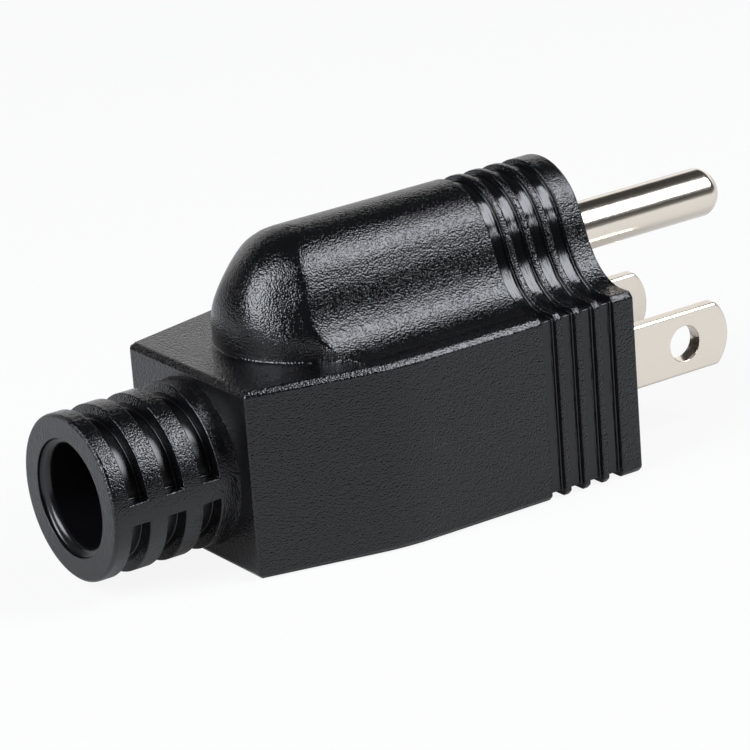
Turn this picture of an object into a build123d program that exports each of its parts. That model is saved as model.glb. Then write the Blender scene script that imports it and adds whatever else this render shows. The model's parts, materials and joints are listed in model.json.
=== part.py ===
from build123d import *

from math import atan2, cos, radians, sin, tan

# A rewirable mains plug with two flat blades and a round earthing pin. One moulding makes the whole
# outside: a tapered block, the hump over the earthing pin, the finger grip and the slotted strain
# relief. The contacts sit in a carrier that draws out at the front, wired and clamped to the cord.
#
# Frame: +X is the way the pins point, +Y is to the left and +Z is up, with the earthing pin on top.
# The origin lies on the mating face, midway between the two blades. Sizes are in millimetres.

# Contacts, in the pattern of the North American 15 A 125 V earthed plug
blade_pitch = 12.70
blade_width = 6.35
blade_thickness = 1.52
blade_length = 16.0
blade_nose_depth = 1.35
blade_corner_radius = 0.6
blade_edge_chamfer = 0.2
blade_hole_diameter = 3.57
blade_hole_setback = 5.4
ground_pin_diameter = 4.80
ground_pin_length = 20.0
ground_pin_rise = 11.89
ground_root_diameter = 5.2
ground_nose_length = 1.1
ground_nose_step = 0.9

# Block of the moulding
side_cover = 7.0
body_height = 18.1
parting_rise = 0.45
body_length = 41.3
straight_length = 27.0
rear_width = 19.75
bend_radius = 25.0
edge_radius = 0.65

# Hump over the earthing pin, with its drafted and hollowed flanks and its domed end
hump_cover = 8.2
crown_radius = 6.2
flank_draft = 24.0
deck_strip = 1.15
flank_sink = 0.08
dome_radius = 8.8
dome_setback = 27.85
dome_rise = 0.05
wing_front = 27.3
wing_rear = 32.3
wing_root = 7.2

# Finger grip at the front
groove_count = 4
groove_width = 1.56
groove_depth = 0.5
ridge_width = 0.68
flange_width = 2.38

# Strain relief and cord bore
relief_length = 13.25
relief_radius = 7.9
relief_flare = 0.45
slot_count = 3
slot_width = 1.9
slot_pitch = 3.8
end_ring = 1.75
slot_floor_radius = 6.5
web_height = 2.0
bore_radius = 4.8
mouth_radius = 5.35
mouth_depth = 1.2

# Walls and clearances
wall = 2.0
rear_wall = 2.0
fit_gap = 0.15
thread_gap = 0.05
hole_gap = 0.2
blind_gap = 0.5
overlap = 1.0

# Contact carrier and the tails of the contacts
plate_thickness = 4.0
terminal_setback = 10.0
tail_margin = 4.5
pocket_margin = 3.0
tail_width = 8.0
core_margin = 0.2
ground_tail_width = 6.0
ground_tail_thickness = 1.8

# Terminal screws, which press the wires under their heads
terminal_screw_diameter = 3.0
terminal_screw_length = 4.2
terminal_head_diameter = 5.0
terminal_head_height = 1.6

# Countersunk screw that holds the carrier in the body from below
carrier_screw_diameter = 3.0
carrier_screw_length = 7.0
carrier_head_diameter = 5.4
carrier_head_recess = 0.1

# Cord clamp on the tongue of the carrier
cord_diameter = 7.8
clamp_setback = 7.8
clamp_bar_width = 5.0
clamp_bar_thickness = 1.3
clamp_seat_rise = 1.0
clamp_screw_pitch = 14.6
clamp_screw_diameter = 2.5
clamp_screw_length = 6.0
clamp_head_diameter = 4.2
clamp_head_height = 1.5
post_radius = 2.1
tongue_width = 14.0
tongue_thickness = 3.0
tongue_margin = 4.0

# Cross recess of the carrier screw
recess_length = 3.4
recess_width = 0.7
recess_depth = 0.8

# Heights and half widths that the pieces share
half_width = blade_pitch / 2 + side_cover
rear_half = rear_width / 2
deck = parting_rise + body_height / 2
base = parting_rise - body_height / 2
crown_top = ground_pin_rise + hump_cover
crown_z = crown_top - crown_radius
dome_z = crown_top + dome_rise - dome_radius
taper = (half_width - rear_half) / (body_length - straight_length)
relief_end = body_length + relief_length

# Lengths along the plug that the pieces share
tail_end = terminal_setback + tail_margin
pocket_depth = tail_end + pocket_margin
chamber_end = body_length - rear_wall
clamp_x = chamber_end - clamp_setback
tongue_end = clamp_x + tongue_margin

# Heights and places inside
blade_y = blade_pitch / 2
core_half = blade_y - blade_thickness / 2
core_top = tail_width / 2 + core_margin
carrier_base = base + wall + fit_gap
tongue_top = carrier_base + tongue_thickness
ground_shelf = ground_pin_rise - ground_tail_thickness / 2
carrier_hole = carrier_screw_diameter / 2 + hole_gap
carrier_screw_axis = Axis((-tail_end, 0, 0), (0, 0, 1))
sunk_base = base + carrier_head_recess
sunk_radius = carrier_head_diameter / 2
sunk_top = sunk_base + sunk_radius - carrier_screw_diameter / 2
carrier_screw_top = sunk_base + carrier_screw_length
clamp_y = clamp_screw_pitch / 2
clamp_seat = parting_rise + clamp_seat_rise
terminal_hole = terminal_screw_length + blind_gap


def hump_section():
    """Bell section: a round crown, drafted flanks and hollow feet that run into the deck."""
    draft = radians(flank_draft)
    foot_y = half_width - deck_strip
    foot_z = deck - flank_sink
    room = foot_y * cos(draft) - crown_radius - (crown_z - foot_z) * sin(draft)
    hollow_radius = room / (1 - sin(draft))
    hollow_z = foot_z + hollow_radius
    with BuildSketch() as section:
        with BuildLine():
            crown = CenterArc((0, crown_z), crown_radius, flank_draft, 90 - flank_draft)
            hollow = CenterArc((foot_y, hollow_z), hollow_radius, 180 + flank_draft, 90 - flank_draft)
            Line(crown @ 0, hollow @ 0)
            Polyline(hollow @ 1, (foot_y, deck - overlap), (0, deck - overlap))
            mirror(about=Plane.YZ)
        make_face()
    return section.sketch_local


def front_section(inset):
    """Section of the straight front part, drawn in by an inset."""
    with BuildSketch() as section:
        with Locations((0, parting_rise)):
            Rectangle(2 * half_width, body_height)
        add(hump_section())
        offset(amount=-inset)
    return section.sketch_local


def plan_outline(front, rear, inset):
    """Plan of the block or of its chamber, between two places behind the mating face."""
    side = half_width - inset
    rear_side = side - taper * (rear - straight_length)
    with BuildSketch() as plan:
        with BuildLine():
            Polyline((-front, 0), (-front, side), (-straight_length, side), (-rear, rear_side), (-rear, 0))
            mirror(about=Plane.XZ)
        make_face()
    return plan.sketch_local


def screw(seat, head_diameter, head_height, diameter, length):
    """Cheese-head screw: the seat plane lies under the head and points out of it."""
    with BuildPart() as piece:
        with BuildSketch(seat):
            Circle(head_diameter / 2)
        extrude(amount=head_height)
        with BuildSketch(seat):
            Circle(diameter / 2)
        extrude(amount=-length)
    return piece.part


# Hump: the bell section, kept in front of the dome, inside the dome and in the two wings beside it
with BuildPart() as hump_keep:
    with BuildSketch(Plane.XY.offset(deck - overlap)):
        with BuildLine():
            Polyline(
                (overlap, 0),
                (overlap, half_width + overlap),
                (-wing_front, half_width + overlap),
                (-wing_front, half_width),
                (-wing_rear, wing_root),
                (-dome_setback, wing_root),
                (-dome_setback, 0),
            )
            mirror(about=Plane.XZ)
        make_face()
    extrude(amount=crown_top - deck + 3 * overlap)
    with BuildSketch(Plane.XZ):
        with BuildLine():
            side = Line((-dome_setback - dome_radius, deck - overlap), (-dome_setback - dome_radius, dome_z))
            top = CenterArc((-dome_setback, dome_z), dome_radius, 90, 90)
            Polyline(top @ 0, (-dome_setback, deck - overlap), side @ 0)
        make_face()
    revolve(axis=Axis((-dome_setback, 0, 0), (0, 0, 1)))

with BuildPart() as hump:
    with BuildSketch(Plane.YZ.offset(-dome_setback - dome_radius - overlap)):
        add(hump_section())
    extrude(amount=dome_setback + dome_radius + overlap)
    add(hump_keep.part, mode=Mode.INTERSECT)

# Finger grip: rings that leave the section drawn in by the depth of the grooves
with BuildPart() as grip_rings:
    for index in range(groove_count):
        front = flange_width + index * (groove_width + ridge_width)
        with BuildSketch(Plane.YZ.offset(-front - groove_width)):
            with Locations((0, crown_top / 2)):
                Rectangle(4 * half_width, 4 * crown_top)
            add(front_section(groove_depth), mode=Mode.SUBTRACT)
        extrude(amount=groove_width)

# Strain relief slots: rings cut from above and below, stopped by a web on each side
with BuildPart() as relief_slots:
    for index in range(slot_count):
        rear = relief_end - end_ring - index * slot_pitch
        with BuildSketch(Plane.YZ.offset(-rear)):
            with Locations((0, parting_rise)):
                Circle(relief_radius + overlap)
                Circle(slot_floor_radius, mode=Mode.SUBTRACT)
                Rectangle(2 * relief_radius + 3 * overlap, web_height, mode=Mode.SUBTRACT)
        extrude(amount=slot_width)

# Body: the one-piece moulding, hollow for the carrier, the wires and the cord
with BuildPart() as body_shell:
    bend = atan2(half_width - rear_half, body_length - straight_length)
    bend_limit = 0.45 * (body_length - straight_length) / tan(bend / 2)
    with BuildSketch(Plane.XY.offset(base)) as plan:
        add(plan_outline(0, body_length, 0))
        fillet(plan.vertices().group_by(Axis.X)[1], min(bend_radius, bend_limit))
    extrude(amount=body_height)
    rims = body_shell.faces().filter_by(Axis.Z).edges()
    fillet(rims.filter_by(lambda edge: edge.center().X < -edge_radius), edge_radius)
    add(hump.part)
    add(grip_rings.part, mode=Mode.SUBTRACT)
    with BuildSketch(Plane.XZ):
        with BuildLine():
            Polyline(
                (-relief_end, parting_rise),
                (-relief_end, parting_rise + relief_radius),
                (-body_length - relief_flare, parting_rise + relief_radius),
                (-body_length, parting_rise + relief_radius + relief_flare),
                (-body_length + overlap, parting_rise + relief_radius + relief_flare),
                (-body_length + overlap, parting_rise),
                close=True,
            )
        make_face()
    revolve(axis=Axis((0, 0, parting_rise), (1, 0, 0)))
    add(relief_slots.part, mode=Mode.SUBTRACT)
    with BuildSketch(Plane.YZ.offset(-pocket_depth)):
        add(front_section(wall))
    extrude(amount=pocket_depth, mode=Mode.SUBTRACT)
    with BuildSketch(Plane.XY.offset(base + wall)):
        add(plan_outline(pocket_depth - overlap, chamber_end, wall))
    extrude(amount=body_height - 2 * wall, mode=Mode.SUBTRACT)
    with BuildSketch(Plane.XZ):
        with BuildLine():
            Polyline(
                (-tail_end, base),
                (-tail_end + sunk_radius + carrier_head_recess, base),
                (-tail_end + carrier_hole, sunk_base + sunk_radius - carrier_hole),
                (-tail_end + carrier_hole, base + wall),
                (-tail_end, base + wall),
                close=True,
            )
        make_face()
    revolve(axis=carrier_screw_axis, mode=Mode.SUBTRACT)
    with BuildSketch(Plane.XZ):
        with BuildLine():
            Polyline(
                (-relief_end, parting_rise),
                (-relief_end, parting_rise + mouth_radius),
                (-relief_end + mouth_depth, parting_rise + bore_radius),
                (-chamber_end + overlap, parting_rise + bore_radius),
                (-chamber_end + overlap, parting_rise),
                close=True,
            )
        make_face()
    revolve(axis=Axis((0, 0, parting_rise), (1, 0, 0)), mode=Mode.SUBTRACT)

# Carrier: the front plate, the core between the blade tails, the shelf of the earthing tail and the
# tongue with two posts for the cord clamp
with BuildPart() as contact_carrier:
    with BuildSketch(Plane.YZ.offset(-plate_thickness)):
        add(front_section(wall + fit_gap))
    extrude(amount=plate_thickness)
    with BuildSketch(Plane.YZ.offset(-pocket_depth)):
        with Locations((0, (core_top + carrier_base) / 2)):
            Rectangle(2 * core_half, core_top - carrier_base)
        with Locations((0, ground_shelf / 2)):
            Rectangle(ground_tail_width, ground_shelf)
    extrude(amount=pocket_depth - plate_thickness)
    with BuildSketch(Plane.YZ.offset(-tongue_end)):
        with Locations((0, (tongue_top + carrier_base) / 2)):
            Rectangle(tongue_width, tongue_thickness)
        with Locations((0, parting_rise)):
            Circle(cord_diameter / 2, mode=Mode.SUBTRACT)
    extrude(amount=tongue_end - pocket_depth)
    with BuildSketch(Plane.XY.offset(carrier_base)):
        with Locations((-clamp_x, clamp_y), (-clamp_x, -clamp_y)):
            Circle(post_radius)
    extrude(amount=clamp_seat - carrier_base)
    with BuildSketch(Plane.XY.offset(clamp_seat)):
        with Locations((-clamp_x, clamp_y), (-clamp_x, -clamp_y)):
            Circle(clamp_screw_diameter / 2 + thread_gap)
    extrude(amount=-clamp_screw_length + clamp_bar_thickness - blind_gap, mode=Mode.SUBTRACT)
    with BuildSketch(Plane.YZ.offset(-plate_thickness)):
        with Locations((blade_y, 0), (-blade_y, 0)):
            Rectangle(blade_thickness, blade_width)
        with Locations((0, ground_pin_rise)):
            Circle(ground_root_diameter / 2)
    extrude(amount=plate_thickness, mode=Mode.SUBTRACT)
    with BuildSketch(Plane.XY.offset(carrier_base)):
        with Locations((-tail_end, 0)):
            Circle(carrier_screw_diameter / 2 + thread_gap)
    extrude(amount=carrier_screw_top + blind_gap - carrier_base, mode=Mode.SUBTRACT)
    for side in (1, -1):
        with BuildSketch(Plane.XZ.offset(-side * core_half)):
            with Locations((-terminal_setback, 0)):
                Circle(terminal_screw_diameter / 2 + hole_gap)
        extrude(amount=side * (terminal_hole - blade_thickness), mode=Mode.SUBTRACT)
    with BuildSketch(Plane.XY.offset(ground_shelf)):
        with Locations((-terminal_setback, 0)):
            Circle(terminal_screw_diameter / 2 + hole_gap)
    extrude(amount=ground_tail_thickness - terminal_hole, mode=Mode.SUBTRACT)


def contact_blade(side):
    """Flat blade: a rounded nose with a hole, and a wider tail whose shoulder bears on the plate."""
    nose_x = blade_length - blade_nose_depth
    with BuildPart() as blade:
        with BuildSketch(Plane.XZ.offset(-side * blade_y)) as outline:
            with BuildLine():
                ThreePointArc((nose_x, -blade_width / 2), (blade_length, 0), (nose_x, blade_width / 2))
                Polyline(
                    (nose_x, blade_width / 2),
                    (-plate_thickness, blade_width / 2),
                    (-plate_thickness, tail_width / 2),
                    (-tail_end, tail_width / 2),
                    (-tail_end, -tail_width / 2),
                    (-plate_thickness, -tail_width / 2),
                    (-plate_thickness, -blade_width / 2),
                    (nose_x, -blade_width / 2),
                )
            make_face()
            fillet(outline.vertices().group_by(Axis.X)[-1], blade_corner_radius)
        extrude(amount=blade_thickness / 2, both=True)
        rims = blade.faces().filter_by(Axis.Y).edges()
        chamfer(rims.filter_by(lambda edge: edge.center().X > 0), blade_edge_chamfer)
        with BuildSketch(Plane.XZ.offset(-side * blade_y)):
            with Locations((blade_length - blade_hole_setback, 0)):
                Circle(blade_hole_diameter / 2)
            with Locations((-terminal_setback, 0)):
                Circle(terminal_screw_diameter / 2 + thread_gap)
        extrude(amount=blade_thickness, both=True, mode=Mode.SUBTRACT)
    return blade.part


# Earthing pin: a round pin with a coned nose, thicker in the plate and flat behind it
with BuildPart() as ground_pin:
    with BuildSketch(Plane.XZ):
        with BuildLine():
            Polyline(
                (0, ground_pin_rise),
                (0, ground_pin_rise + ground_pin_diameter / 2),
                (ground_pin_length - ground_nose_length, ground_pin_rise + ground_pin_diameter / 2),
                (ground_pin_length, ground_pin_rise + ground_pin_diameter / 2 - ground_nose_step),
                (ground_pin_length, ground_pin_rise),
                close=True,
            )
        make_face()
    revolve(axis=Axis((0, 0, ground_pin_rise), (1, 0, 0)))
    with BuildSketch(Plane.YZ):
        with Locations((0, ground_pin_rise)):
            Circle(ground_root_diameter / 2)
    extrude(amount=-plate_thickness)
    with BuildSketch(Plane.YZ.offset(-tail_end)):
        with Locations((0, ground_pin_rise)):
            Rectangle(ground_tail_width, ground_tail_thickness)
    extrude(amount=tail_end - plate_thickness)
    with BuildSketch(Plane.XY.offset(ground_shelf)):
        with Locations((-terminal_setback, 0)):
            Circle(terminal_screw_diameter / 2 + thread_gap)
    extrude(amount=ground_tail_thickness, mode=Mode.SUBTRACT)

# Terminals: each screw stands outwards on the tail of its contact
tail_face = blade_y + blade_thickness / 2
ground_face = ground_pin_rise + ground_tail_thickness / 2
terminal_planes = {
    "line_terminal_screw": Plane((-terminal_setback, -tail_face, 0), (1, 0, 0), (0, -1, 0)),
    "neutral_terminal_screw": Plane((-terminal_setback, tail_face, 0), (1, 0, 0), (0, 1, 0)),
    "ground_terminal_screw": Plane((-terminal_setback, 0, ground_face), (1, 0, 0), (0, 0, 1)),
}

# Cord clamp: a saddle over the cord whose ears lie on the two posts
with BuildPart() as cord_clamp:
    with BuildSketch(Plane.YZ.offset(-clamp_x - clamp_bar_width / 2)):
        with Locations((0, parting_rise)):
            Circle(cord_diameter / 2 + clamp_bar_thickness)
        with Locations((0, clamp_seat + clamp_bar_thickness / 2)):
            Rectangle(2 * (clamp_y + post_radius), clamp_bar_thickness)
        with Locations((0, parting_rise)):
            Circle(cord_diameter / 2, mode=Mode.SUBTRACT)
        with Locations((0, clamp_seat - cord_diameter)):
            Rectangle(2 * clamp_screw_pitch, 2 * cord_diameter, mode=Mode.SUBTRACT)
    extrude(amount=clamp_bar_width)
    with BuildSketch(Plane.XY.offset(clamp_seat)):
        with Locations((-clamp_x, clamp_y), (-clamp_x, -clamp_y)):
            Circle(clamp_screw_diameter / 2 + hole_gap)
    extrude(amount=clamp_bar_thickness, mode=Mode.SUBTRACT)

# Carrier screw: a countersunk head, flush in the base, and a shank up into the core of the carrier
with BuildPart() as carrier_screw:
    with BuildSketch(Plane.XZ):
        with BuildLine():
            Polyline(
                (-tail_end, sunk_base),
                (-tail_end + sunk_radius, sunk_base),
                (-tail_end + carrier_screw_diameter / 2, sunk_top),
                (-tail_end + carrier_screw_diameter / 2, carrier_screw_top),
                (-tail_end, carrier_screw_top),
                close=True,
            )
        make_face()
    revolve(axis=carrier_screw_axis)
    with BuildSketch(Plane.XY.offset(sunk_base)):
        with Locations((-tail_end, 0)):
            Rectangle(recess_length, recess_width)
            Rectangle(recess_width, recess_length)
    extrude(amount=recess_depth, mode=Mode.SUBTRACT)

pieces = {
    "body_shell": body_shell.part,
    "contact_carrier": contact_carrier.part,
    "line_blade": contact_blade(-1),
    "neutral_blade": contact_blade(1),
    "ground_pin": ground_pin.part,
    "cord_clamp": cord_clamp.part,
    "carrier_screw": carrier_screw.part,
}

for name, plane in terminal_planes.items():
    pieces[name] = screw(
        plane,
        terminal_head_diameter,
        terminal_head_height,
        terminal_screw_diameter,
        terminal_screw_length,
    )

with BuildPart() as cord_clamp_screws:
    for side in (1, -1):
        add(
            screw(
                Plane((-clamp_x, side * clamp_y, clamp_seat + clamp_bar_thickness)),
                clamp_head_diameter,
                clamp_head_height,
                clamp_screw_diameter,
                clamp_screw_length,
            )
        )
pieces["cord_clamp_screws"] = cord_clamp_screws.part

for name, piece in pieces.items():
    piece.label = name
    export_step(piece, f"parts/{name}.step")
    print(name, len(piece.solids()), round(piece.volume, 1))
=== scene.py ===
# %% [markdown]
# # A mains plug in black moulded plastic
# The plug is small enough to lie in a palm: a tapered block of black plastic, a hump over the round
# earthing pin, four grip grooves and a slotted strain relief around an open cord bore. The packed
# model gives every piece its true size and place, so this lesson only adds what a maker adds after
# the drawing: softened edges, the grain of the mould, plated metal, light and a camera.

# %% Load the frame
import json
import math

import bmesh
import bpy
from mathutils import Matrix, Vector
from mathutils.kdtree import KDTree

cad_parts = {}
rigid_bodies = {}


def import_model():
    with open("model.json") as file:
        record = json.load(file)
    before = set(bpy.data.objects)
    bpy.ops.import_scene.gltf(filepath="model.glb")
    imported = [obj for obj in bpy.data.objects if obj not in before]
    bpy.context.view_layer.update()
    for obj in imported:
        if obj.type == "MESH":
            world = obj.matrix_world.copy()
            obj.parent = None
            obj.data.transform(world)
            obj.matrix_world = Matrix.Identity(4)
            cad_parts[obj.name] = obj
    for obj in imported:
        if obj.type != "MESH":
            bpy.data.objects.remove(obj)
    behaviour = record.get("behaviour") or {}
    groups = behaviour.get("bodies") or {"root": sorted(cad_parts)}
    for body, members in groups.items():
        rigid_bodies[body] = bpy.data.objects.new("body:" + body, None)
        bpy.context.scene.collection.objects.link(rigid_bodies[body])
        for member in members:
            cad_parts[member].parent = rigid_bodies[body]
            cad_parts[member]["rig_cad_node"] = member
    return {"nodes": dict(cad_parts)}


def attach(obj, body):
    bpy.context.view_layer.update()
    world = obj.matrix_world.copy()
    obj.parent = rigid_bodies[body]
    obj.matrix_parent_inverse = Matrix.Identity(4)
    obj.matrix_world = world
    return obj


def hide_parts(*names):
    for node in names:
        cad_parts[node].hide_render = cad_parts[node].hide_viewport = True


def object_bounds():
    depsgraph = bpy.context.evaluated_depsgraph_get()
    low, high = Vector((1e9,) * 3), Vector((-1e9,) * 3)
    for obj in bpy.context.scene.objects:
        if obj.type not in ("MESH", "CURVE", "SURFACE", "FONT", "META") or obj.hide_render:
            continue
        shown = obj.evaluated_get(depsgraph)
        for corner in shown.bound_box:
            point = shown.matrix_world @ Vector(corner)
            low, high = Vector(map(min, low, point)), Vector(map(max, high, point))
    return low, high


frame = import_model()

MM = 0.001
cad_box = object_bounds()
print("nodes:", sorted(frame["nodes"]))
print("box in mm:", [[round(c / MM, 2) for c in corner] for corner in cad_box])

# %% [markdown]
# ## The camera
# The photograph was taken with a long lens from the left rear of the plug, a little above it, and
# the plug leans slightly in the picture. A camera is a place, a direction and a roll, so it is
# written here as an angle round the plug, a height above the floor, a distance and a target, which
# are easy to read and to change. The target lies near the middle of the body.

# %% Camera
view_azimuth = math.radians(-33.266)
view_elevation = math.radians(19.819)
view_roll = math.radians(-4.452)
view_distance = 400.0 * MM
view_target = Vector((-21.0, -0.403, 3.473)) * MM

away = Vector((
    math.sin(view_azimuth) * math.cos(view_elevation),
    -math.cos(view_azimuth) * math.cos(view_elevation),
    math.sin(view_elevation),
))
level_right = (-away).cross(Vector((0, 0, 1))).normalized()
level_up = level_right.cross(-away)
right = math.cos(view_roll) * level_right + math.sin(view_roll) * level_up
up = math.cos(view_roll) * level_up - math.sin(view_roll) * level_right

bpy.ops.object.camera_add()
camera = bpy.context.object
camera.name = "camera"
camera.data.sensor_width = 36.0
camera.data.lens = 204.85
camera.data.clip_start = 0.01
camera.matrix_world = Matrix((right, up, away)).transposed().to_4x4()
camera.location = view_target + away * view_distance
bpy.context.scene.camera = camera
bpy.context.scene.view_settings.view_transform = "Standard"
print("camera at", [round(c, 4) for c in camera.location])

# %% [markdown]
# ## Sums in the shader
# A finish such as "grain everywhere but on the groove floors" is a sum over positions. Drawn as
# nodes it is hard to follow, so a small class wraps a node's output and lets Python's own operators
# add the Math nodes. One more method adds any other node, with its settings first and its inputs
# after.

# %% A value in a shader
class Value:
    """An output socket that takes part in Python expressions."""

    def __init__(self, tree, socket):
        self.tree = tree
        self.socket = socket

    def math(self, operation, first, second):
        node = self.tree.nodes.new("ShaderNodeMath")
        node.operation = operation
        for entry, value in zip(node.inputs, (first, second)):
            if isinstance(value, Value):
                self.tree.links.new(value.socket, entry)
            else:
                entry.default_value = value
        return Value(self.tree, node.outputs[0])

    def __add__(self, other):
        return self.math("ADD", self, other)

    def __radd__(self, other):
        return self.math("ADD", other, self)

    def __sub__(self, other):
        return self.math("SUBTRACT", self, other)

    def __rsub__(self, other):
        return self.math("SUBTRACT", other, self)

    def __mul__(self, other):
        return self.math("MULTIPLY", self, other)

    def __rmul__(self, other):
        return self.math("MULTIPLY", other, self)

    def __pow__(self, other):
        return self.math("POWER", self, other)

    def __mod__(self, other):
        return self.math("FLOORED_MODULO", self, other)

    def __gt__(self, other):
        return self.math("GREATER_THAN", self, other)

    def __lt__(self, other):
        return self.math("LESS_THAN", self, other)

    def __abs__(self):
        return self.math("ABSOLUTE", self, 0.0)


# %% A tree of nodes
class Shader:
    """The nodes of a material or of the world, and one method that adds any node to them."""

    def __init__(self, owner):
        owner.use_nodes = True
        self.owner = owner
        self.tree = owner.node_tree

    def node(self, kind, settings, inputs, output=0):
        node = self.tree.nodes.new(kind)
        for key, value in settings.items():
            setattr(node, key, value)
        self.feed(node, inputs)
        return Value(self.tree, node.outputs[output])

    def feed(self, node, inputs):
        for key, value in inputs.items():
            if isinstance(value, Value):
                self.tree.links.new(value.socket, node.inputs[key])
            else:
                node.inputs[key].default_value = value

    def surface(self, **inputs):
        """Feeds the material's own surface shader; a socket's name has _ for each space."""
        named = {name.replace("_", " "): value for name, value in inputs.items()}
        self.feed(self.tree.nodes["Principled BSDF"], named)

    def place(self):
        """Position on the object in millimetres, as a vector and as x, y and z."""
        metres = self.node("ShaderNodeTexCoord", {}, {}, "Object")
        inputs = {"Vector": metres, "Scale": 1.0 / MM}
        spot = self.node("ShaderNodeVectorMath", {"operation": "SCALE"}, inputs)
        axes = [self.node("ShaderNodeSeparateXYZ", {}, {"Vector": spot}, axis) for axis in "XYZ"]
        return spot, axes

    def noise(self, spot, size, detail=2.0, rough=0.5):
        """Soft noise whose blotches are about this many millimetres across."""
        inputs = {"Vector": spot, "Scale": 1.0 / size, "Detail": detail, "Roughness": rough}
        return self.node("ShaderNodeTexNoise", {}, inputs)

    def stretched(self, spot, x, y, z):
        return self.node("ShaderNodeVectorMath", {"operation": "MULTIPLY"}, {0: spot, 1: (x, y, z)})

    def ramp(self, value, low, high):
        """Rises smoothly from 0 to 1 while the value goes from low to high."""
        inputs = {"Value": value, "From Min": low, "From Max": high}
        return self.node("ShaderNodeMapRange", {"interpolation_type": "SMOOTHSTEP"}, inputs)

    def blend(self, share, low, high):
        inputs = {"Factor": share, "A": (*low, 1), "B": (*high, 1)}
        return self.node("ShaderNodeMix", {"data_type": "RGBA"}, inputs, "Result")

    def bump(self, height, depth):
        """A normal from a height, where a height of 1 stands this many millimetres proud."""
        inputs = {"Strength": 1.0, "Distance": depth * MM, "Height": height}
        return self.node("ShaderNodeBump", {}, inputs, "Normal")

    def seen_by(self, *rays):
        """1 for rays of these kinds, such as Camera or Glossy."""
        first, *others = [self.node("ShaderNodeLightPath", {}, {}, f"Is {ray} Ray") for ray in rays]
        return sum(others, first)


print("shader helpers ready")

# %% [markdown]
# ## Moulded plastic
# The mould of the body left a fine leathery grain on it, about five to the millimetre. The floors
# of the grip grooves and of the strain relief slots are smooth, and so is the bore, so they reflect
# the studio as clear bands. All this could be painted on separate pieces, but the body is one
# moulding, so one finish works out from the position where it is smooth and where the grain is
# deep.

# %% Sizes that the plastic's finish follows
flange_width = 2.38
groove_width = 1.56
ridge_width = 0.68
groove_count = 4
axis_height = 0.45
deck_height = 9.5
relief_start = -41.5
relief_end = -54.4
slot_floor_limit = 7.0
mouth_limit = 5.7


def smooth_share(shader, axes):
    """1 on the groove floors, the slot floors and the bore, 0 on the grained faces."""
    x, y, z = axes
    behind = -1.0 * x - flange_width
    step = groove_width + ridge_width
    last = groove_count * step - ridge_width
    grooves = (behind > 0.0) * (behind < last) * (behind % step < groove_width)
    radius = (y * y + (z - axis_height) ** 2.0) ** 0.5
    floors = (x < relief_start) * (x > relief_end) * (radius < slot_floor_limit)
    mouth = (x < relief_start) * (radius < mouth_limit)
    return shader.node("ShaderNodeClamp", {}, {"Value": grooves + floors + mouth})


# %% Grain
grains_per_mm = 5.4
more_on_relief = 0.8
fine_size = 0.11
coarse_size = 0.45
side_reach = 9.8
side_top = 8.8
deck_skin = 0.06
flat_extra = 0.6
root_extra = 0.8


def grain_height(shader, spot, axes, smooth, relief, root):
    """The grain as a height, deeper on the flat faces and at the root of the strain relief."""
    x, y, z = axes
    cells = shader.node("ShaderNodeTexVoronoi", {"feature": "SMOOTH_F1"}, {
        "Vector": spot, "Scale": grains_per_mm + relief * more_on_relief, "Smoothness": 0.25,
    })
    fine = shader.noise(spot, fine_size, 1.0)
    coarse = shader.noise(spot, coarse_size, 1.0)
    sides = (abs(y) > side_reach) * (z < side_top)
    flats = sides + (abs(z - deck_height) < deck_skin) + (x < relief_end)
    depth = (1.0 - smooth) * (1.0 + flats * flat_extra + root * root_extra)
    return (fine * 0.5 + coarse * (0.7 - flats * 0.5) - cells) * depth


# %% Streaks and flash
streak_size = 0.12
streak_stretch = 0.08
flash_half = 0.035
flash_wander = 0.5
flash_side = 9.5
flash_gaps = 0.56


def groove_streaks(shader, spot, smooth, relief):
    """Marks round the smooth groove floors, fine along x and long across it."""
    long = shader.stretched(spot, 1.0, streak_stretch, streak_stretch)
    return shader.noise(long, streak_size, 1.0) * smooth * (1.0 - relief)


def flash_line(shader, spot, axes):
    """A thin broken seam that wanders along the middle of both sides."""
    x, y, z = axes
    wander = shader.noise(spot, 5.0) - 0.5
    broken = shader.noise(spot, 2.2, 1.0) > flash_gaps
    seam = abs(z - axis_height - wander * flash_wander) < flash_half
    return seam * (abs(y) > flash_side) * broken


# %% Grained black plastic
grain_depth = 0.035
streak_share = 0.55
flash_share = 1.1
root_ahead = 0.15
root_behind = 0.5


def grained_plastic():
    shader = Shader(bpy.data.materials.new("grained_black_plastic"))
    spot, axes = shader.place()
    x = axes[0]
    smooth = smooth_share(shader, axes)
    relief = x < relief_start
    root = (x < relief_start + root_ahead) * (x > relief_start - root_behind)
    grain = grain_height(shader, spot, axes, smooth, relief, root)
    streaks = groove_streaks(shader, spot, smooth, relief)
    flash = flash_line(shader, spot, axes)
    normal = shader.bump(grain + streaks * streak_share + flash * flash_share, grain_depth)
    patches = shader.noise(spot, 3.0)
    colour = shader.blend(patches, (0.0022, 0.0022, 0.0026), (0.0040, 0.0040, 0.0046))
    rough = 0.10 + (patches - 0.5) * 0.05 + root * 0.08 + smooth * (0.03 + relief * 0.12)
    shader.surface(Base_Color=colour, Roughness=rough, Normal=normal)
    return shader.owner


shell_finish = grained_plastic()
print("made", shell_finish.name)

# %% [markdown]
# ## Plated contacts
# Blades and pins of such plugs are brass with a nickel plate. Nickel is a slightly warm grey, and
# the strip shows the drawing marks of the mill along its length. A metal has no colour of its own
# beside its reflection, so the marks go into its roughness and a very small bump.

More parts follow.
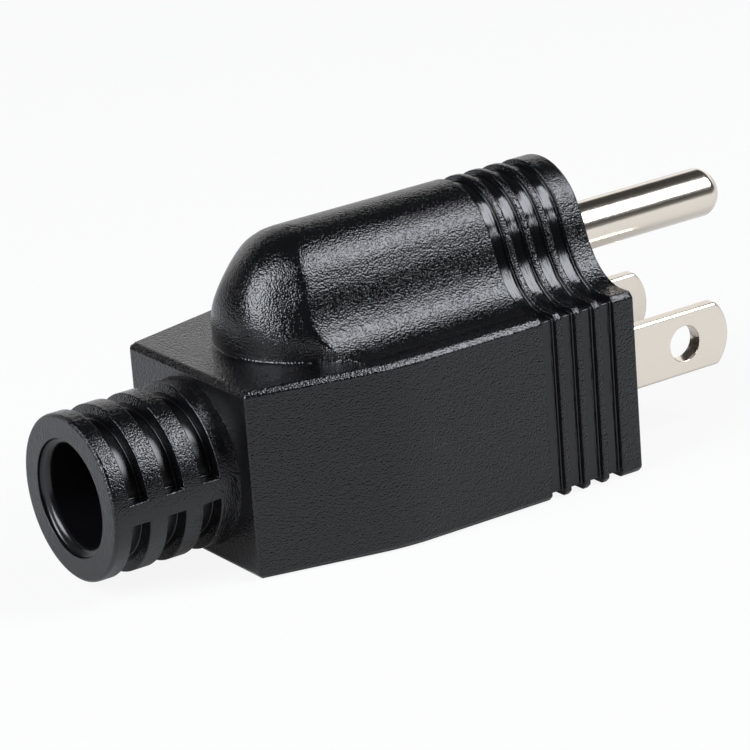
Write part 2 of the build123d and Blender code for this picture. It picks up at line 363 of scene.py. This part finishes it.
# %% Nickel plate
def nickel_plate():
    shader = Shader(bpy.data.materials.new("nickel_plate"))
    spot, _ = shader.place()
    drawn = shader.noise(shader.stretched(spot, 0.06, 3.0, 3.0), 0.6, 4.0, 0.6)
    cloud = shader.noise(spot, 4.0)
    colour = shader.blend(cloud, (0.86, 0.78, 0.665), (0.92, 0.835, 0.72))
    normal = shader.bump(drawn, 0.003)
    shader.surface(Base_Color=colour, Metallic=1.0, Roughness=0.13 + drawn * 0.10, Normal=normal)
    return shader.owner


contact_finish = nickel_plate()
print("made", contact_finish.name)


# %% [markdown]
# ## Finishes inside
# The holder of the contacts is smooth black plastic, and the screws are brass, zinc plated or dyed
# green for the earth. Hardly any of this shows, so a soft cloud in colour and roughness is enough,
# and the three screw metals share one function.

# %% Other finishes
def smooth_plastic():
    shader = Shader(bpy.data.materials.new("smooth_black_plastic"))
    spot, _ = shader.place()
    cloud = shader.noise(spot, 1.5)
    colour = shader.blend(cloud, (0.007, 0.007, 0.008), (0.012, 0.012, 0.013))
    normal = shader.bump(cloud, 0.01)
    shader.surface(Base_Color=colour, Roughness=0.3 + cloud * 0.1, Normal=normal)
    return shader.owner


def screw_metal(name, low, high):
    shader = Shader(bpy.data.materials.new(name))
    spot, _ = shader.place()
    cloud = shader.noise(spot, 0.8, 3.0)
    colour = shader.blend(cloud, low, high)
    normal = shader.bump(cloud, 0.006)
    shader.surface(Base_Color=colour, Metallic=1.0, Roughness=0.2 + cloud * 0.2, Normal=normal)
    return shader.owner


carrier_finish = smooth_plastic()
brass_finish = screw_metal("bright_brass", (0.70, 0.48, 0.18), (0.82, 0.60, 0.27))
steel_finish = screw_metal("zinc_plate", (0.58, 0.58, 0.57), (0.70, 0.70, 0.68))
earth_finish = screw_metal("green_dye", (0.03, 0.24, 0.07), (0.06, 0.34, 0.12))
print("made", carrier_finish.name, brass_finish.name, steel_finish.name, earth_finish.name)

# %% [markdown]
# ## Softened edges
# No mould or press leaves a knife edge, and the thin lights along the ridges show how round they
# are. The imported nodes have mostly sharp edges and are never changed, so each one is copied, its
# triangles are merged and its flat faces joined, and a Bevel modifier rounds the edges of the copy,
# which then stands for the node.

# %% A merged copy of a node
merge_reach = 0.002
flat_angle = 0.5


def merged_copy(node, name):
    bpy.ops.object.select_all(action="DESELECT")
    source = frame["nodes"][node]
    source.select_set(True)
    bpy.context.view_layer.objects.active = source
    bpy.ops.object.duplicate()
    piece = bpy.context.object
    piece.name = name
    del piece["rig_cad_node"]
    bpy.ops.object.mode_set(mode="EDIT")
    bpy.ops.mesh.select_all(action="SELECT")
    bpy.ops.mesh.remove_doubles(threshold=merge_reach * MM)
    bpy.ops.mesh.customdata_custom_splitnormals_clear()
    bpy.ops.mesh.dissolve_limited(angle_limit=math.radians(flat_angle))
    bpy.ops.object.mode_set(mode="OBJECT")
    return piece


# %% Rounding by weight
widest_round = 0.7
round_segments = 3
shade_angle = 40


def edge_facts(mesh):
    """Each edge with its ends in mm, the angle between its faces and the way they face."""
    faces_at = {}
    for face in mesh.polygons:
        for key in face.edge_keys:
            faces_at.setdefault(key, []).append(face.normal)
    for edge in mesh.edges:
        one, other = faces_at[edge.key]
        start, end = (mesh.vertices[i].co / MM for i in edge.vertices)
        yield edge, start, end, math.degrees(one.angle(other)), one + other


def round_edges(piece, round_of):
    """Rounds each edge as round_of says, from its middle, run, angle and facing."""
    weights = piece.data.attributes.new("bevel_weight_edge", "FLOAT", "EDGE")
    for edge, start, end, angle, facing in edge_facts(piece.data):
        width = round_of((start + end) / 2, end - start, angle, facing)
        weights.data[edge.index].value = width / widest_round
    bevel = piece.modifiers.new("soft_edges", "BEVEL")
    bevel.width = widest_round * MM
    bevel.segments = round_segments
    bevel.limit_method = "WEIGHT"
    bevel.use_clamp_overlap = False
    bpy.ops.object.modifier_apply(modifier="soft_edges")
    bpy.ops.object.shade_smooth_by_angle(angle=math.radians(shade_angle))
    even = piece.modifiers.new("even_shading", "WEIGHTED_NORMAL")
    even.keep_sharp = True
    bpy.ops.object.modifier_apply(modifier="even_shading")


def stand_in(piece, node, slot, material):
    piece.data.materials.clear()
    piece.data.materials.append(material)
    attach(piece, "root")
    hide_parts(node)
    print(piece.name, "has", len(piece.data.polygons), "faces")


# %% [markdown]
# ## The hump's soft forms
# The hump's flanks are not quite flat: they swell a little under the crown and sink a little above
# the deck, by less than a tenth of a millimetre, and that alone draws the dark band between the two
# lights on them. The dome runs into them along a crease that bulges forward and is wide in the
# middle, and is gone at the top. A bevel needs an edge of one kind all along, so the crease is
# pulled forward by its points and the hump is cut into small faces with Bisect instead. Its flank
# points are moved by a wave, and the points near the crease are smoothed, so that they settle
# between dome and flank by themselves.

# %% Cutting the hump
cut_step = 0.45
first_along, cuts_along = -37.0, 24
first_up, cuts_up = 10.15, 22
deck_margin = 0.05


def cut_hump(piece):
    bpy.ops.object.mode_set(mode="EDIT")
    bpy.ops.mesh.select_mode(type="FACE")
    places = [((first_along + cut_step * step, 0, 0), (1, 0, 0)) for step in range(cuts_along)]
    places += [((0, 0, first_up + cut_step * step), (0, 0, 1)) for step in range(cuts_up)]
    for place, normal in places:
        bpy.ops.mesh.select_all(action="DESELECT")
        cut = bmesh.from_edit_mesh(piece.data)
        for face in cut.faces:
            face.select_set(face.calc_center_median().z > (deck_height + deck_margin) * MM)
        bpy.ops.mesh.bisect(plane_co=Vector(place) * MM, plane_no=normal)
    bpy.ops.object.mode_set(mode="OBJECT")
    print(piece.name, "cut into", len(piece.data.polygons), "faces")


# %% Flanks
flank_top = (5.66, 16.41)
flank_length = 4.6
flank_swell = 0.07
flank_draft = math.radians(24)
flank_skin = 0.9
flank_proud = 0.1
flank_fade = 0.3


def wave_flanks(piece):
    """Moves the points of both flanks out above the flank's middle, and in below it."""
    for point in piece.data.vertices:
        x, y, z = point.co / MM
        over = abs(y) - flank_top[0]
        under = flank_top[1] - z
        along = (over * math.sin(flank_draft) + under * math.cos(flank_draft)) / flank_length
        out = over * math.cos(flank_draft) - under * math.sin(flank_draft)
        if 0 < along < 1 and -flank_skin < out < flank_proud:
            fade = min(1.0, (out + flank_skin) / flank_fade)
            move = flank_swell * math.sin(2 * math.pi * along) * fade
            side = math.copysign(1.0, y)
            outward = Vector((0, side * math.cos(flank_draft), math.sin(flank_draft)))
            point.co += outward * move * MM


# %% Crease
facet_angle = 11.6
corner_angle = 60
dome_rear = -40
crease_rear = -38
crease_front = -20
crease_foot = deck_height + 0.3
crease_step = 0.2
crease_reach = 0.9
foot_reach = 0.4
reach_growth = 0.3
crease_pull = 1.3
pull_reach = 5.0
pull_height = 15.0
pull_span = 4.8


def crease_line(mesh):
    """The crease between dome and flank, as close points that can be searched by nearness."""
    spots = []
    for edge, start, end, angle, facing in edge_facts(mesh):
        middle = (start + end) / 2
        on_hump = crease_rear < middle.x < crease_front and middle.z > crease_foot
        if facet_angle < angle < corner_angle and on_hump:
            steps = math.ceil((end - start).length / crease_step)
            spots += [start.lerp(end, step / steps) for step in range(steps + 1)]
    crease = KDTree(len(spots))
    for index, spot in enumerate(spots):
        crease.insert(spot, index)
    crease.balance()
    return crease


def pull_crease(piece, crease):
    """Moves the middle of the crease forward along the flank, and the dome's side after it."""
    for point in piece.data.vertices:
        x, y, z = point.co / MM
        if z > crease_foot and dome_rear < x < crease_front:
            distance = crease.find(point.co / MM)[2]
            near = max(0.0, 1.0 - distance / pull_reach)
            middle = max(0.0, 1.0 - abs(z - pull_height) / pull_span)
            pull = crease_pull * near ** 2 * (3 - 2 * near) * middle ** 2 * (3 - 2 * middle)
            point.co.x += pull * MM


def soften_crease(piece, crease):
    bpy.ops.object.mode_set(mode="EDIT")
    bpy.ops.mesh.select_mode(type="VERT")
    bpy.ops.mesh.select_all(action="DESELECT")
    bpy.ops.object.mode_set(mode="OBJECT")
    for point in piece.data.vertices:
        distance = crease.find(point.co / MM)[2]
        reach = foot_reach + reach_growth * (point.co.z / MM - deck_height)
        point.select = distance < min(crease_reach, reach)
    bpy.ops.object.mode_set(mode="EDIT")
    bpy.ops.mesh.vertices_smooth(factor=0.5, repeat=5)
    bpy.ops.object.mode_set(mode="OBJECT")


# %% [markdown]
# ## Rims, mouth and root
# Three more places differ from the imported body, by half a millimetre at most. The rims of deck and
# base catch the light as a band, so they are nearer to a bevel than to a round. The mouth of the
# bore has a short straight wall in front of its cone, and the strain relief meets the block in a
# thin step. These could be modelled anew, but most points are there already, so they are moved.

# %% Rims
block_rear = -41.3
rear_skin = 0.1
corner_reach = 2
wing_side = 9
rim_radius = 0.65
rim_flat = 0.09
least_lean = 0.3
base_low = -8.6


def flatten_rims(piece):
    """Presses the middle of the rounded rims of deck and base in a little, towards a bevel."""
    normals = [entry.vector.copy() for entry in piece.data.vertex_normals]
    for point, normal in zip(piece.data.vertices, normals):
        x, y, z = point.co / MM
        if deck_height - rim_radius < z < deck_height or base_low < z < base_low + rim_radius:
            if x > block_rear + corner_reach:
                normal.x = 0.0
            on_block = abs(y) > wing_side and x > block_rear - rear_skin
            if on_block and normal.length > least_lean:
                normal.normalize()
                lean = math.sin(2 * math.acos(min(1.0, abs(normal.z))))
                point.co -= normal * rim_flat * lean ** 2 * MM


# %% Distance from the bore
def bore_radius(y, z):
    return math.hypot(y, z - axis_height)


def set_radius(point, radius):
    """Moves a point straight towards the bore's axis, or away from it, to this radius."""
    x, y, z = point.co / MM
    share = radius / bore_radius(y, z)
    point.co = Vector((x, y * share, axis_height + (z - axis_height) * share)) * MM


# %% Mouth
relief_back = -54.55
mouth_depth = 1.2
mouth_wall = 0.4
wall_skin = 0.1
mouth_wide = 5.62


def step_mouth(piece):
    """Gives the mouth a short straight wall in front of its cone."""
    wall_end = relief_back + mouth_wall
    bpy.ops.object.mode_set(mode="EDIT")
    bpy.ops.mesh.select_mode(type="FACE")
    bpy.ops.mesh.select_all(action="DESELECT")
    for face in bmesh.from_edit_mesh(piece.data).faces:
        x, y, z = face.calc_center_median() / MM
        inside = bore_radius(y, z) < mouth_limit
        face.select_set(x < relief_back + mouth_depth and inside)
    bpy.ops.mesh.bisect(plane_co=Vector((wall_end, 0, 0)) * MM, plane_no=(1, 0, 0))
    bpy.ops.object.mode_set(mode="OBJECT")
    for point in piece.data.vertices:
        x, y, z = point.co / MM
        if x < wall_end + wall_skin and bore_radius(y, z) < mouth_limit:
            set_radius(point, mouth_wide)


# %% Root
root_circle = 8.35
root_skin = 0.1
root_slim = 8.02


def slim_root(piece):
    """Draws the wide end of the cone at the root of the strain relief in, to a thin step."""
    for point in piece.data.vertices:
        x, y, z = point.co / MM
        on_circle = abs(bore_radius(y, z) - root_circle) < root_skin
        if abs(x - block_rear) < rear_skin and on_circle:
            set_radius(point, root_slim)


# %% [markdown]
# ## The body put together
# The body could be bevelled first, but a bevel leaves many small faces that the other steps would
# catch. So the points are moved while the faces are still large, then the hump is cut, waved and
# smoothed, and the edges are rounded last, each by the place it has on the plug.

# %% Body
least_bend = 30
front_skin = 0.02
section_middle = 4
foot_skin = 0.2
corner_zone = 0.8
corner_rise = 3
root_zone = 9
mouth_zone = -53
end_zone = -54.5
rounds = {
    "front rim": 0.25, "front opening": 0.08, "dome foot": 0.2, "rear corner": 0.7,
    "rear rim": 0.25, "mouth rim": 0.06, "mouth wall": 0.2, "end ring": 0.35, "other": 0.13,
    "as packed": 0.0,
}


def body_edge(middle, run, angle, facing):
    """The kind of edge of the body that lies here, a name in the table of rounds."""
    x, y, z = middle
    radius = bore_radius(y, z)
    outward = facing.y * y + facing.z * (z - section_middle) > 0
    if angle < least_bend:
        return "as packed"
    if x > -front_skin:
        return "front rim" if outward else "front opening"
    if abs(z - deck_height) < foot_skin and crease_rear < x < crease_front:
        return "dome foot" if abs(y) < wing_side else "as packed"
    if x < block_rear + corner_zone and abs(y) > wing_side:
        return "rear corner" if abs(run.z) > corner_rise else "rear rim"
    if abs(x - block_rear) < rear_skin and radius < root_zone:
        return "as packed"
    if x < mouth_zone and radius < mouth_limit:
        return "mouth rim" if x < end_zone else "mouth wall"
    if x < end_zone:
        return "end ring"
    return "other" if outward or x < block_rear else "as packed"


shell = merged_copy("body_shell", "plug_body")
pull_crease(shell, crease_line(shell.data))
crease = crease_line(shell.data)
flatten_rims(shell)
step_mouth(shell)
slim_root(shell)
cut_hump(shell)
wave_flanks(shell)
soften_crease(shell, crease)
round_edges(shell, lambda *edge: rounds[body_edge(*edge)])
stand_in(shell, "body_shell", "shell", shell_finish)

# %% [markdown]
# ## Contacts, screws and the pieces inside
# Stamped blades, screws and the holder have edges of one kind each, so a table gives every piece
# its finish and one rounding, and a loop makes them all. Only the earthing pin needs a rule of its
# own, with a wide round on its nose and hardly any at its root.

# %% Metal and inner pieces
sharp_angle = 35.0
nose_start = 18
nose_round = 0.4
pin_edge = 0.05


def plain_round(width):
    return lambda middle, run, angle, facing: width if angle > sharp_angle else 0.0


def pin_round(middle, run, angle, facing):
    if angle < sharp_angle:
        return 0.0
    return nose_round if middle.x > nose_start else pin_edge


for node, name, slot, material, rounding in (
    ("contact_carrier", "contact_holder", "carrier", carrier_finish, plain_round(0.12)),
    ("line_blade", "near_blade", "contact", contact_finish, plain_round(0.08)),
    ("neutral_blade", "far_blade", "contact", contact_finish, plain_round(0.08)),
    ("ground_pin", "earthing_pin", "contact", contact_finish, pin_round),
    ("line_terminal_screw", "line_screw", "brass_screw", brass_finish, plain_round(0.2)),
    ("neutral_terminal_screw", "neutral_screw", "steel_screw", steel_finish, plain_round(0.2)),
    ("ground_terminal_screw", "earth_screw", "earth_screw", earth_finish, plain_round(0.2)),
    ("cord_clamp", "cord_saddle", "steel_screw", steel_finish, plain_round(0.1)),
    ("cord_clamp_screws", "saddle_screws", "steel_screw", steel_finish, plain_round(0.15)),
    ("carrier_screw", "holder_screw", "steel_screw", steel_finish, plain_round(0.06)),
):
    piece = merged_copy(node, name)
    round_edges(piece, rounding)
    stand_in(piece, node, slot, material)

# %% [markdown]
# ## The studio
# The photograph has a white ground, so the floor shows white to the camera and to reflections, and
# still takes the plug's soft shadow. Black plastic is seen by its reflections alone: a large light
# at the front right draws the bands along the hump, one behind on the left lights the dome, a white
# backdrop behind the plug brings out the grain of the deck, and a weak sky fills the rest.

# %% Floor
floor_shade = 0.56
floor_drop = 0.02
camera_white = 0.9
mirror_white = 0.15


def pale_floor():
    shader = Shader(bpy.data.materials.new("pale_floor"))
    grey = (floor_shade, floor_shade, floor_shade, 1)
    shader.surface(Base_Color=grey, Roughness=0.9, Specular_IOR_Level=0.1)
    mirrored = shader.seen_by("Glossy", "Transmission")
    share = shader.seen_by("Camera") * camera_white + mirrored * mirror_white
    white = shader.node("ShaderNodeEmission", {}, {"Strength": 1.0})
    painted = Value(shader.tree, shader.tree.nodes["Principled BSDF"].outputs["BSDF"])
    mix = shader.node("ShaderNodeMixShader", {}, {0: share, 1: painted, 2: white})
    shader.feed(shader.tree.nodes["Material Output"], {"Surface": mix})
    return shader.owner


bpy.ops.object.select_all(action="DESELECT")
bpy.ops.mesh.primitive_plane_add(size=4.0, location=(0, 0, cad_box[0].z - floor_drop * MM))
floor = bpy.context.object
floor.name = "floor"
floor.data.materials.append(pale_floor())
print("floor at", round(floor.location.z / MM, 2), "mm")


# %% Sky
backdrop_side = (0.55, 0.84, 0.0)
backdrop_edge = (0.45, 0.75)
backdrop_top = (0.33, 0.46)
haze_top = 0.22
haze_light = 0.15
room_light = 0.04


def studio_sky():
    """White to the camera; to the plug a dim room with a white backdrop behind the plug."""
    shader = Shader(bpy.data.worlds.new("studio"))
    bpy.context.scene.world = shader.owner
    direction = shader.node("ShaderNodeTexCoord", {}, {}, "Generated")
    height = shader.node("ShaderNodeSeparateXYZ", {}, {"Vector": direction}, "Z")
    inputs = {0: direction, 1: backdrop_side}
    behind = shader.node("ShaderNodeVectorMath", {"operation": "DOT_PRODUCT"}, inputs, "Value")
    wall = shader.ramp(behind, *backdrop_edge) * (1.0 - shader.ramp(height, *backdrop_top))
    haze = 1.0 - shader.ramp(height, 0.0, haze_top)
    white = shader.seen_by("Camera") + shader.seen_by("Glossy", "Transmission") * wall
    shader.feed(shader.tree.nodes["Background"], {
        "Color": (1, 1, 1, 1),
        "Strength": white + (1.0 - white) * (room_light + haze * haze_light),
    })
    print("sky:", shader.owner.name)


studio_sky()


# %% Lamps
lamp_colour = (0.90, 0.935, 1.0)
lamp_distance = 0.6


def softbox(name, towards, width, height, power):
    """A flat lamp that stands in a direction from the plug and looks back at it."""
    bpy.ops.object.light_add(type="AREA")
    lamp = bpy.context.object
    lamp.name = name
    lamp.data.shape = "RECTANGLE"
    lamp.data.size = width
    lamp.data.size_y = height
    lamp.data.energy = power
    lamp.data.color = lamp_colour
    direction = Vector(towards).normalized()
    lamp.location = view_target + direction * lamp_distance
    lamp.rotation_euler = direction.to_track_quat("Z", "Y").to_euler()


softbox("front_right", (0.516, -0.46, 0.71), 0.32, 0.37, 3.8)
softbox("rear_left", (-0.83, -0.06, 0.54), 0.34, 0.48, 5.8)
